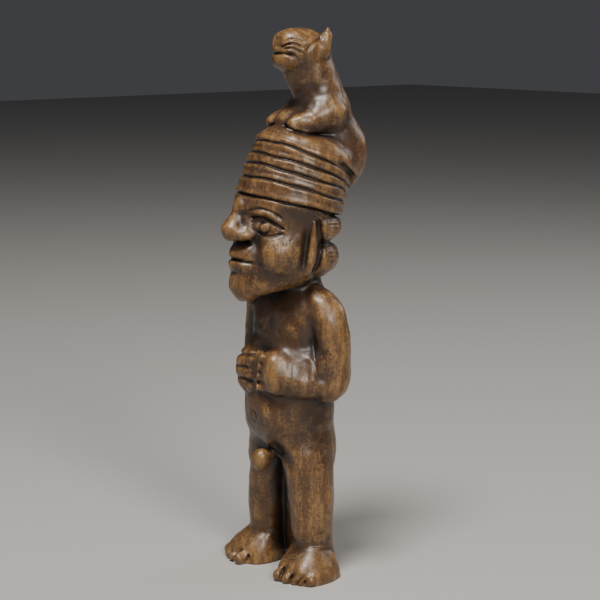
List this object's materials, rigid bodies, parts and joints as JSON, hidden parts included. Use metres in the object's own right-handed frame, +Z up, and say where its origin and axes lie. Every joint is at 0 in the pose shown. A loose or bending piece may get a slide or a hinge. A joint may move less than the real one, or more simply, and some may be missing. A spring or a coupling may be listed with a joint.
{
  "type": "carved fertility figure",
  "caption": "Standing nude figure carved in dark polished wood, hands held together at the waist, with a tall banded cap and a seated animal on top; stands on its own feet.",
  "frame": {"origin": "on the ground at the middle of the figure's bounding box, between the heels and just in front of them", "axes": "+Z up, the figure's body faces -Y, its left side is +X; head, cap and animal are turned 10 degrees towards its right"},
  "size_m": [0.0356, 0.0391, 0.14],
  "materials": {
    "carved_wood": "hand-carved hardwood, stained dark brown, waxed and worn lighter on raised parts"
  },
  "bodies": {
    "root": {"left_foot": "carved_wood", "right_foot": "carved_wood", "left_leg": "carved_wood", "right_leg": "carved_wood", "belly": "carved_wood", "phallus": "carved_wood", "chest": "carved_wood", "left_upper_arm": "carved_wood", "right_upper_arm": "carved_wood", "left_forearm": "carved_wood", "right_forearm": "carved_wood", "left_hand": "carved_wood", "right_hand": "carved_wood", "neck": "carved_wood", "head": "carved_wood", "nose": "carved_wood", "lips": "carved_wood", "left_eye": "carved_wood", "right_eye": "carved_wood", "left_ear": "carved_wood", "right_ear": "carved_wood", "hair_upper_roll": "carved_wood", "hair_lower_roll": "carved_wood", "cap_band_1": "carved_wood", "cap_band_2": "carved_wood", "cap_band_3": "carved_wood", "cap_band_4": "carved_wood", "cap_crown": "carved_wood", "animal_haunches": "carved_wood", "animal_body": "carved_wood", "animal_left_foreleg": "carved_wood", "animal_right_foreleg": "carved_wood", "animal_head": "carved_wood", "animal_lower_jaw": "carved_wood", "animal_left_ear": "carved_wood", "animal_right_ear": "carved_wood"}
  },
  "joints": []
}
